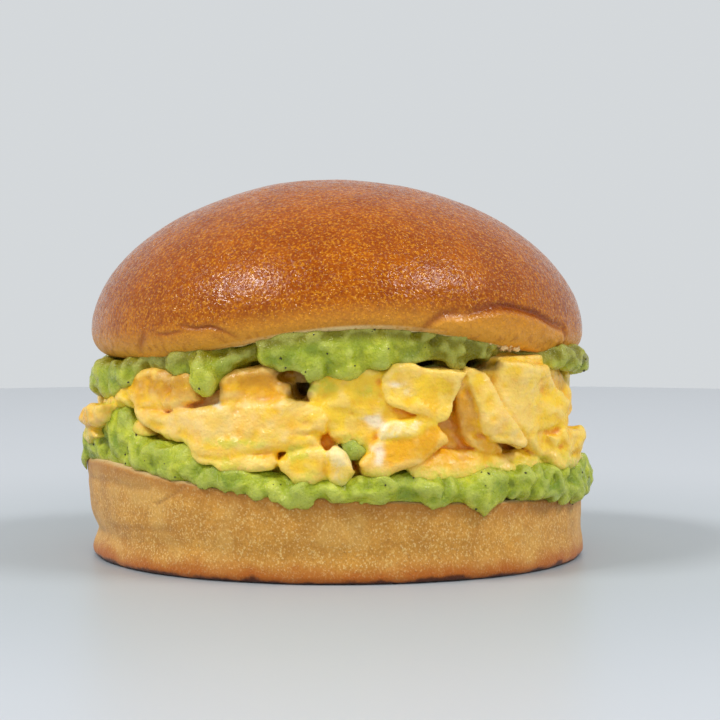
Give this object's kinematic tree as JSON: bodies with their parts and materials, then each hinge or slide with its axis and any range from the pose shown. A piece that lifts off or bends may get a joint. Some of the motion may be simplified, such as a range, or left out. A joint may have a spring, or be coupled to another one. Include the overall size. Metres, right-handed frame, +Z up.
{
  "type": "brioche sandwich",
  "caption": "Domed brioche bun filled with large soft folds of scrambled egg between two lumpy spreads of mashed avocado.",
  "frame": {"origin": "middle of the flat face that the heel of the bun rests on", "axes": "+Z up, -Y the front as seen in the picture, +X to its right"},
  "size_m": [0.1111, 0.1091, 0.0796],
  "materials": {
    "bun_heel": "soft matt golden crust",
    "avocado_lower": "moist mash",
    "scrambled_egg": "soft moist curds",
    "avocado_upper": "moist mash",
    "bun_crown": "egg-washed crust, satin gloss"
  },
  "bodies": {
    "root": {"bun_heel": "bun_heel", "avocado_lower": "avocado_lower", "scrambled_egg": "scrambled_egg", "avocado_upper": "avocado_upper", "bun_crown": "bun_crown"}
  },
  "joints": []
}
